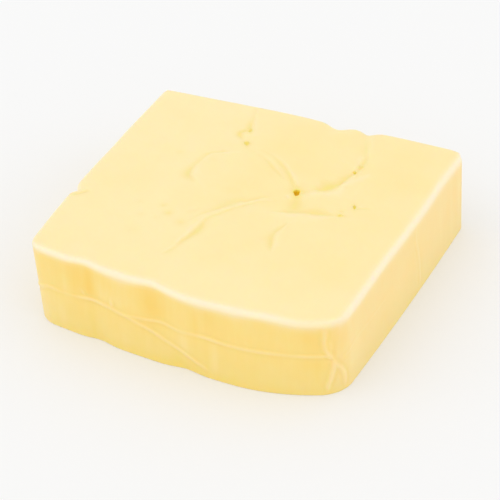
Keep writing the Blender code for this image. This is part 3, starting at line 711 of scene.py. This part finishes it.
def crease_route(half_width, height, walls):
    """A crease of the walls as a line on the cheese, lower and narrower at its ends."""
    walk = []
    for wall, knots in walls.items():
        walk += [(walk_of(wall, along * MM), z * MM, share) for along, z, share in knots]
    rows = through_knots(walk, ROUTE_STEP)
    sample = np.arange(len(rows))
    from_end = np.minimum(sample, sample[::-1])
    fade = np.minimum(1.0, from_end / CREASE_END_SAMPLES + CREASE_END_SHARE)
    half_widths = half_width * MM * fade**CREASE_END_POWER
    return Route(on_slab(plain_wall_points(rows)), half_widths, height * MM * fade * rows[:, 2])


def eye_frames():
    """Every eye: its place, its two directions in plan divided by its radii, its depth and its painted
    shade.
    """
    for x, y, length, width, depth, turn, eye_shade in EYES.values():
        angle = math.radians(turn)
        along = np.array((math.cos(angle), math.sin(angle))) / (length * MM)
        aside = np.array((-math.sin(angle), math.cos(angle))) / (width * MM)
        yield np.array((x, y)) * MM, along, aside, depth * MM, eye_shade


def eye_reach(places, place, along, aside):
    """How far out of an eye each place is, 0 at its middle and 1 at its slightly uneven edge."""
    offset = places[:, :2] - place
    u, v = offset @ along, offset @ aside
    angle = np.arctan2(v, u)
    uneven = 1.0
    for (waves, half_height, turn), coordinate in zip(EYE_WAVES, place):
        uneven = uneven + half_height * np.sin(waves * angle + turn * coordinate)
    return np.hypot(u, v) / uneven


def slice_slab(bm, place, normal):
    """Cuts the faces of the slab along one plane and keeps both sides."""
    geometry = bm.verts[:] + bm.edges[:] + bm.faces[:]
    bmesh.ops.bisect_plane(bm, geom=geometry, dist=SMALL / 2.0, plane_co=place, plane_no=normal)


def plain_slab():
    """A box with rounded top and foot edges, sliced into a grid that can follow the cheese's form."""
    bm = bmesh.new()
    bmesh.ops.create_cube(bm, size=1.0)
    size = Matrix.Diagonal((2.0 * HALF_WIDTH, 2.0 * HALF_DEPTH, HEIGHT, 1.0))
    place = Matrix.Translation((0.0, 0.0, HEIGHT / 2.0))
    bmesh.ops.transform(bm, matrix=place @ size, verts=bm.verts)
    for height, radius, segments in (
        (HEIGHT, TOP_EDGE, TOP_EDGE_SEGMENTS), (0.0, FOOT_EDGE, FOOT_EDGE_SEGMENTS),
    ):
        edges = [edge for edge in bm.edges if all(abs(vert.co.z - height) < SMALL for vert in edge.verts)]
        bmesh.ops.bevel(bm, geom=edges, offset=radius, segments=segments, profile=0.5, affect="EDGES")
    for half, normal in ((HALF_WIDTH, Vector((1, 0, 0))), (HALF_DEPTH, Vector((0, 1, 0)))):
        inner = half - TOP_EDGE
        steps = round(2.0 * inner / GRID_STEP)
        for step in range(steps + 1):
            slice_slab(bm, normal * (inner * (2.0 * step / steps - 1.0)), normal)
    for row in range(1, WALL_ROWS):
        height = FOOT_EDGE + (HEIGHT - TOP_EDGE - FOOT_EDGE) * row / WALL_ROWS
        slice_slab(bm, Vector((0.0, 0.0, height)), Vector((0, 0, 1)))
    edges = [edge for edge in bm.edges if any(vert.co.z > SMALL for vert in edge.verts)]
    bmesh.ops.subdivide_edges(bm, edges=edges, cuts=FLAT_CUTS, use_grid_fill=True)
    split_wide_faces(bm)
    return bm


def split_wide_faces(bm):
    """Turns faces of more than four sides into triangles."""
    wide = [face for face in bm.faces if len(face.verts) > 4]
    bmesh.ops.triangulate(bm, faces=wide)


def settle_rounds(bm):
    """Puts the rounded edges of a bmesh of the plain slab exactly on their arcs, and gives its points."""
    points = np.array([vert.co[:] for vert in bm.verts])
    for radius, height, side in ((TOP_EDGE, HEIGHT - TOP_EDGE, 1.0), (FOOT_EDGE, FOOT_EDGE, -1.0)):
        over_x = np.maximum(np.abs(points[:, 0]) - (HALF_WIDTH - radius), 0.0)
        over_y = np.maximum(np.abs(points[:, 1]) - (HALF_DEPTH - radius), 0.0)
        over_z = side * (points[:, 2] - height)
        over = np.maximum(over_x, over_y)
        round_part = (over > 0.0) & (over_z > 0.0)
        scale = np.ones(len(points))
        scale[round_part] = radius / np.hypot(over[round_part], over_z[round_part])
        for axis, extra in ((0, over_x), (1, over_y)):
            moved = round_part & (extra > 0.0)
            points[moved, axis] += np.sign(points[moved, axis]) * extra[moved] * (scale[moved] - 1.0)
        points[round_part, 2] = height + side * over_z[round_part] * scale[round_part]
    for vert, place in zip(bm.verts, points):
        vert.co = place
    return points


def near_routes(places, routes, reach):
    """Which places lie within a reach of a groove's or crease's side."""
    near = np.zeros(len(places), bool)
    for route in routes:
        found, _, _ = route.nearest(places, reach + route.half_widths.max())
        near[found] = True
    return near


def near_eyes(places, farthest):
    """Which places of the top face lie round an eye, out to a share of its radius."""
    near = np.zeros(len(places), bool)
    for place, along, aside, _, _ in eye_frames():
        near |= eye_reach(places, place, along, aside) < farthest
    return near & (places[:, 2] > TOP_FACE_FROM)


def refine(bm, routes):
    """Cuts the mesh finer near the grooves, creases and eyes."""
    for reach, target in REFINE_STEPS:
        places = on_slab(settle_rounds(bm))
        near = near_routes(places, routes, reach) | near_eyes(places, EYE_REFINE_OUT)
        split_near(bm, places, near, target)
    places = on_slab(settle_rounds(bm))
    split_near(bm, places, near_eyes(places, EYE_LAST_OUT), EYE_LAST_LENGTH)
    return settle_rounds(bm)


def split_near(bm, places, near, target):
    """Halves the longer edges between marked points."""
    bm.verts.index_update()
    edges = []
    for edge in bm.edges:
        a, b = edge.verts[0].index, edge.verts[1].index
        if near[a] and near[b] and np.linalg.norm(places[a] - places[b]) > target:
            edges.append(edge)
    bmesh.ops.subdivide_edges(bm, edges=edges, cuts=1, use_grid_fill=True)
    split_wide_faces(bm)


def add_groove(route, places, normals, rise, cleft, lip):
    """Sinks a groove with painted shade in it, and raises a soft lip with a painted highlight on one side
    if it has one.
    """
    found, index, distance = route.nearest(places, ROUTE_REACH * route.half_widths.max())
    width = route.half_widths[index]
    height = route.rises[index]
    out = np.cross(route.tangents[index], normals[found])
    out /= np.linalg.norm(out, axis=1)[:, None] + 1e-12
    aside = ((places[found] - route.points[index]) * out).sum(axis=1) * -route.lip
    side_width = np.where(aside > 0.0, LIP_SIDE_WIDTH, OPEN_SIDE_WIDTH) * width if route.lip else width
    profile = bell(distance, side_width)
    depth_share = np.minimum(MOST_GROOVE, -height / FULL_GROOVE)
    rise[found] += height * profile
    cleft[found] = np.maximum(cleft[found], GROOVE_SHADE * profile**GROOVE_SHADE_POWER * depth_share)
    if route.lip:
        edge = bell(aside - LIP_PLACE * width, LIP_WIDTH * width)
        rise[found] -= LIP_HEIGHT * height * edge
        # A painted highlight along the lip
        lip[found] = np.maximum(lip[found], edge * depth_share)


def add_crease(route, places, rise, crease, ditch):
    """Raises the points on a crease, and sinks a shallow ditch along both of its sides, with painted shade
    in it.
    """
    found, index, distance = route.nearest(places, ROUTE_REACH * route.half_widths.max())
    width = route.half_widths[index]
    height = route.rises[index]
    profile = bell(distance, width)
    beside = bell(distance - DITCH_PLACE * width, DITCH_WIDTH * width)
    full_share = np.minimum(MOST_CREASE, height / FULL_CREASE)
    rise[found] += height * (profile - DITCH_DEPTH * beside)
    crease[found] = np.maximum(crease[found], profile * full_share)
    ditch[found] = np.maximum(ditch[found], beside * full_share)


def add_eye(eye, places, on_top_face, rise, cleft):
    """Sinks the bowl of an eye, with painted shade in it, a slight swelling and a faint ring of painted
    shade round it.
    """
    place, along, aside, depth, eye_shade = eye
    out = eye_reach(places, place, along, aside)
    rise -= depth * np.sqrt(np.clip(1.0 - out**2, 0.0, 1.0)) * on_top_face
    rise += EYE_SWELLING * bell(out - EYE_SWELLING_PLACE, EYE_SWELLING_WIDTH) * on_top_face
    inside = eye_shade * smooth_step((EYE_SHADE_END - out) / EYE_SHADE_LENGTH)
    ring = EYE_SHADE_RING * eye_shade * bell(out, EYE_SHADE_RING_WIDTH)
    np.maximum(cleft, np.maximum(inside, ring) * on_top_face, out=cleft)


def add_dent(dent, places, on_top_face, rise, cleft):
    """Sinks a slight round dent, with painted shade in it, or raises a swelling, in the top face."""
    x, y, radius, depth = dent
    patch = bell(np.hypot(places[:, 0] - x * MM, places[:, 1] - y * MM), radius * MM) * on_top_face
    rise -= depth * MM * patch
    np.maximum(cleft, DENT_SHADE * depth * patch, out=cleft)


def relief(places, normals, grooves, creases):
    """How far each point rises or sinks, how much painted shade and lip highlight it has, and how much of
    a crease.

    The last is below 0 in the shallow ditches beside the creases, where it paints shade."""
    rise, cleft, lip, crease, ditch = np.zeros((5, len(places)))
    for route in grooves:
        add_groove(route, places, normals, rise, cleft, lip)
    for route in creases:
        add_crease(route, places, rise, crease, ditch)
    on_top_face = places[:, 2] > TOP_FACE_FROM
    for eye in eye_frames():
        add_eye(eye, places, on_top_face, rise, cleft)
    for dent in DENTS:
        add_dent(dent, places, on_top_face, rise, cleft)
    lip = lip * (1.0 - np.minimum(1.0, LIP_FADE * cleft))
    # Painted shade in the ditches beside the creases, kept below 0
    crease = crease - ditch * np.clip(1.0 - DITCH_FADE * crease, 0.0, 1.0)
    return rise, cleft, lip, crease


def rim_highlight_share(points):
    """Painted highlight: 1 on the rounded top edge, fading over the top and down the walls, weaker away
    from the front.
    """
    over_x = np.abs(points[:, 0]) - (HALF_WIDTH - TOP_EDGE)
    over_y = np.abs(points[:, 1]) - (HALF_DEPTH - TOP_EDGE)
    over = np.maximum(over_x, over_y)
    drop = points[:, 2] - (HEIGHT - TOP_EDGE)
    turned = np.arctan2(np.maximum(drop, 0.0), np.maximum(over, 1e-9))
    down = TOP_EDGE * (RIM_MIDDLE - turned) + np.maximum(-drop, 0.0)
    down = down - np.maximum(-over, 0.0)
    near_corner = bell(points[:, 0] - RIM_CORNER_X, RIM_CORNER_REACH_X)
    near_corner = near_corner * bell(points[:, 1] + HALF_DEPTH, RIM_CORNER_REACH_Y)
    front_width = RIM_FRONT_WIDTH
    for place, reach, change in RIM_CHANGES:
        front_width = front_width + change * MM * bell(points[:, 0] - place * MM, reach * MM)
    lower_width = np.where(over_x > over_y, RIM_SIDE_WIDTH, front_width) + RIM_CORNER_WIDER * near_corner
    share = bell(down, np.where(down > 0.0, lower_width, RIM_TOP_WIDTH))
    rear = np.where(over_x > over_y, points[:, 0] < 0.0, points[:, 1] > 0.0)
    return share * np.where(rear, RIM_REAR_SHARE, 1.0) * (1.0 - RIM_CORNER_FAINTER * near_corner)


def top_shade(points):
    """How much painted shade the top face has: most at the back right and round the folds."""
    x, y = points[:, 0], points[:, 1]
    shade = TOP_SHADE_LEAST + TOP_SHADE_MORE * grown(x, *TOP_SHADE_IN_X) * grown(y, *TOP_SHADE_IN_Y)
    for middle_x, middle_y, reach_x, reach_y, change in TOP_SHADES:
        shade += change * bell(x - middle_x * MM, reach_x * MM) * bell(y - middle_y * MM, reach_y * MM)
    return shade


def right_wall_sheen_share(points):
    """Painted sheen: 1 on the right wall and 0 on the front wall, with a soft change at the corner between
    them.
    """
    past = np.abs(points[:, 0]) - HALF_WIDTH + SIDE_BLEND
    return smooth_step(past / SIDE_BLEND) * (points[:, 0] > 0.0)


def wall_share(points):
    """0 on the top face and 1 on the walls of the plain slab."""
    return smooth_step((HEIGHT - WALL_START - points[:, 2]) / WALL_BLEND)


def foot_shade_share(points):
    """Painted shade toward the foot: 1 at the foot of the walls, fading to 0 in their upper part."""
    return smooth_step((LOW_START - points[:, 2]) / LOW_BLEND)


def wall_tone(points):
    """How much deeper (above 0) or paler each point of the walls is than the rest; the deeper parts are
    partly painted shade.
    """
    tone = np.zeros(len(points))
    for wall, patches in TONES_AND_SHADE.items():
        side = wall[0] * points[:, 0] / HALF_WIDTH + wall[1] * points[:, 1] / HALF_DEPTH
        place = points[:, 1] if wall[0] else points[:, 0]
        for along, z, half_width, half_height, amount in patches:
            patch = bell(place - along * MM, half_width * MM)
            patch *= bell(points[:, 2] - z * MM, half_height * MM)
            tone += amount * patch * (side > ON_WALL)
    return tone


def add_numbers(mesh, **numbers):
    """Stores numbers for each point of a mesh, for the material to read."""
    for name, values in numbers.items():
        layer = mesh.attributes.new(name, "FLOAT", "POINT")
        layer.data.foreach_set("value", values.astype(np.float32))


def make_cheese():
    """The block with all its relief, as one closed mesh."""
    grooves = [groove_route(*groove) for groove in GROOVES.values()]
    creases = [crease_route(*crease) for crease in CREASES.values()]
    bm = plain_slab()
    plain = refine(bm, grooves + creases)
    places = on_slab(plain)
    mesh = bpy.data.meshes.new("cheese_block")
    for vert, place in zip(bm.verts, places):
        vert.co = place
    bmesh.ops.recalc_face_normals(bm, faces=bm.faces)
    bm.to_mesh(mesh)
    bm.free()
    normals = np.zeros(len(places) * 3)
    mesh.vertex_normals.foreach_get("vector", normals)
    normals = normals.reshape(-1, 3)
    rise, cleft, lip, crease = relief(places, normals, grooves, creases)
    moved = places + normals * rise[:, None] - BOX_MIDDLE
    mesh.vertices.foreach_set("co", moved.astype(np.float32).ravel())
    add_numbers(
        mesh, cleft=cleft, lip=lip, crease=crease, rim=rim_highlight_share(plain), shade=top_shade(plain),
        side=right_wall_sheen_share(plain), wall=wall_share(plain), tone=wall_tone(plain), low=foot_shade_share(plain),
    )
    mesh.shade_smooth()
    mesh.update()
    block = bpy.data.objects.new("cheese_block", mesh)
    bpy.context.scene.collection.objects.link(block)
    return block


def set_inputs(node, values):
    """Sets some of a node's inputs by their names."""
    for name, value in values.items():
        node.inputs[name].default_value = value


class Nodes:
    """Short ways to add and join the nodes of one material."""

    def __init__(self, material):
        material.use_nodes = True
        self.tree = material.node_tree
        self.tree.nodes.clear()

    def add(self, kind, **settings):
        """A new node with some of its settings."""
        node = self.tree.nodes.new(kind)
        for name, value in settings.items():
            setattr(node, name, value)
        return node

    def join(self, source, target):
        """Leads one socket to another."""
        self.tree.links.new(source, target)

    def attribute(self, name):
        """A number stored for each point."""
        return self.add("ShaderNodeAttribute", attribute_name=name).outputs["Fac"]

    def mix(self, factor, first, second):
        """A colour between two colours or sockets."""
        node = self.add("ShaderNodeMix", data_type="RGBA", clamp_factor=True)
        for index, value in ((0, factor), (6, first), (7, second)):
            self.set_or_join(value, node.inputs[index])
        return node.outputs[2]

    def math(self, operation, first, second):
        """The result of one sum with two values or sockets."""
        node = self.add("ShaderNodeMath", operation=operation)
        self.set_or_join(first, node.inputs[0])
        self.set_or_join(second, node.inputs[1])
        return node.outputs[0]

    def set_or_join(self, value, socket):
        """Gives a socket its value, or leads another socket to it."""
        if isinstance(value, bpy.types.NodeSocket):
            self.join(value, socket)
        else:
            socket.default_value = value

    def changed(self, value, noise, amount):
        """A value, raised or lowered by up to half the amount where the noise is high or low."""
        return self.math("ADD", value, self.math("MULTIPLY", self.math("SUBTRACT", noise, 0.5), amount))

    def noise(self, place, scale, detail, roughness=0.5):
        """Soft noise, between 0 and 1."""
        node = self.add("ShaderNodeTexNoise")
        self.join(place, node.inputs["Vector"])
        set_inputs(node, {"Scale": scale, "Detail": detail, "Roughness": roughness})
        return node.outputs["Fac"]

    def spread(self, value, low, high):
        """Stretches a value so that low becomes 0 and high becomes 1."""
        node = self.add("ShaderNodeMapRange", clamp=True)
        self.join(value, node.inputs["Value"])
        set_inputs(node, {"From Min": low, "From Max": high})
        return node.outputs["Result"]

    def spread_noise(self, place, scale, detail, low, high):
        """Soft noise, stretched so that low becomes 0 and high becomes 1."""
        return self.spread(self.noise(place, scale, detail), low, high)


def cheese_colour(n, place):
    """Pale yellow: deeper on the walls, paler on creases, a painted highlight on edges, painted shade in
    the eyes.
    """
    blotch = n.spread_noise(place, *BLOTCH)
    streak_place = n.add("ShaderNodeMapping")
    n.join(place, streak_place.inputs["Vector"])
    set_inputs(streak_place, {"Scale": (1.0, 1.0, STREAK_SQUEEZE)})
    streak = n.spread_noise(streak_place.outputs["Vector"], *STREAK)
    # The walls' own streaks and blotches of colour, with painted shade in the folds and along the foot
    tone = n.changed(n.attribute("tone"), streak, WALL_STREAKS)
    tone = n.changed(tone, blotch, WALL_BLOTCHES)
    # The top face: its painted shade, moved by blotches of its own colour, between its lit and its shaded
    # colour
    top = n.mix(n.changed(n.attribute("shade"), blotch, TOP_BLOTCHES), TOP_COLOUR_PALE_AND_LIT, TOP_COLOUR_DEEP_AND_SHADED)
    # Painted shade toward the foot of the walls
    low = n.attribute("low")
    front = n.mix(low, WALL_COLOUR, WALL_FOOT_SHADE_COLOUR)
    # The right wall's colour, paler by a painted sheen
    side = n.mix(low, SIDE_SHEEN_COLOUR, SIDE_SHEEN_FOOT_SHADE_COLOUR)
    wall = n.mix(n.attribute("side"), front, side)
    wall = n.mix(tone, wall, n.mix(low, WALL_DEEP_AND_SHADE_COLOUR, WALL_DEEP_FOOT_SHADE_COLOUR))
    wall = n.mix(n.math("MULTIPLY", tone, -1.0), wall, WALL_COLOUR_PALE)
    # The top is paler than the walls, partly its own colour and partly a painted reflection of the bright
    # studio
    colour = n.mix(n.attribute("wall"), top, wall)
    # Laid over: a painted highlight on the rim and on the grooves' lips, the paler creases, and painted
    # shade in the creases' ditches
    for name, share, laid_over in LAID_OVER:
        colour = n.mix(n.math("MULTIPLY", n.attribute(name), share), colour, laid_over)
    # Painted shade down in the eyes, slits and dents
    cleft = n.attribute("cleft")
    for start, end, laid_over in CLEFT_SHADE_COLOURS:
        colour = n.mix(n.spread(cleft, start, end), colour, laid_over)
    return colour


def cheese_material():
    """The cheese's colour on a slightly waxy surface with a fine grain, which lets a little light in."""
    material = bpy.data.materials.new("cheese")
    n = Nodes(material)
    place = n.add("ShaderNodeTexCoord").outputs["Object"]
    bump = n.add("ShaderNodeBump")
    set_inputs(bump, {"Strength": GRAIN_STRENGTH, "Distance": GRAIN_DEPTH})
    n.join(n.noise(place, *GRAIN), bump.inputs["Height"])
    shader = n.add("ShaderNodeBsdfPrincipled")
    n.join(cheese_colour(n, place), shader.inputs["Base Color"])
    n.join(bump.outputs["Normal"], shader.inputs["Normal"])
    set_inputs(shader, {
        "Roughness": ROUGHNESS, "Subsurface Weight": LIGHT_PASSING, "Subsurface Radius": LIGHT_RADII,
        "Subsurface Scale": LIGHT_DEPTH,
    })
    output = n.add("ShaderNodeOutputMaterial")
    n.join(shader.outputs["BSDF"], output.inputs["Surface"])
    return material


def make_floor():
    """A wide pale table, lit a little from within like a light table, so that shadows stay soft."""
    bpy.ops.mesh.primitive_plane_add(size=FLOOR_SIZE, location=(0.0, 0.0, 0.0))
    floor = bpy.context.object
    floor.name = "floor"
    material = bpy.data.materials.new("floor")
    material.use_nodes = True
    set_inputs(material.node_tree.nodes["Principled BSDF"], {
        "Base Color": FLOOR_COLOUR, "Roughness": FLOOR_ROUGHNESS, "Specular IOR Level": 0.0,
        "Emission Color": FLOOR_GLOW_COLOUR, "Emission Strength": FLOOR_GLOW,
    })
    floor.data.materials.append(material)
    return floor


def direction_of(azimuth, elevation):
    """The direction to a place seen from the cheese; azimuth 0 is the front and 90 the right."""
    azimuth, elevation = math.radians(azimuth), math.radians(elevation)
    level = math.cos(elevation)
    return Vector((math.sin(azimuth) * level, -math.cos(azimuth) * level, math.sin(elevation)))


def make_sun(name, azimuth, elevation, irradiance):
    """A broad soft white light from a direction, the same all over the table."""
    light = bpy.data.lights.new(name, "SUN")
    light.energy = irradiance
    light.angle = LIGHT_ANGLE
    item = bpy.data.objects.new(name, light)
    item.rotation_euler = direction_of(azimuth, elevation).to_track_quat("Z", "Y").to_euler()
    bpy.context.scene.collection.objects.link(item)


def light_studio():
    """An even white tent, with broad soft lights from the front left and the right."""
    world = bpy.data.worlds.new("tent")
    bpy.context.scene.world = world
    world.use_nodes = True
    set_inputs(world.node_tree.nodes["Background"], {"Color": TENT_COLOUR, "Strength": TENT_STRENGTH})
    for name, (azimuth, elevation, irradiance) in LIGHTS.items():
        make_sun(name, azimuth, elevation, irradiance)


def make_camera():
    """The camera, aimed at the target from its azimuth and elevation."""
    back = direction_of(CAMERA_AZIMUTH, CAMERA_ELEVATION)
    data = bpy.data.cameras.new("camera")
    data.lens = CAMERA_LENS
    data.clip_start = CAMERA_NEAREST
    data.clip_end = CAMERA_FARTHEST
    camera = bpy.data.objects.new("camera", data)
    camera.location = CAMERA_TARGET - Vector(BOX_MIDDLE) + back * CAMERA_DISTANCE
    camera.rotation_euler = back.to_track_quat("Z", "Y").to_euler()
    bpy.context.scene.collection.objects.link(camera)
    bpy.context.scene.camera = camera


def main():
    """The block, ready for export, on its table in the studio."""
    block = make_cheese()
    block.data.materials.append(cheese_material())
    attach(block, "root")
    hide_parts("cheese_slab")
    make_floor()
    light_studio()
    make_camera()
    bpy.context.scene.view_settings.view_transform = "Standard"
    bpy.context.scene.view_settings.look = "None"


main()
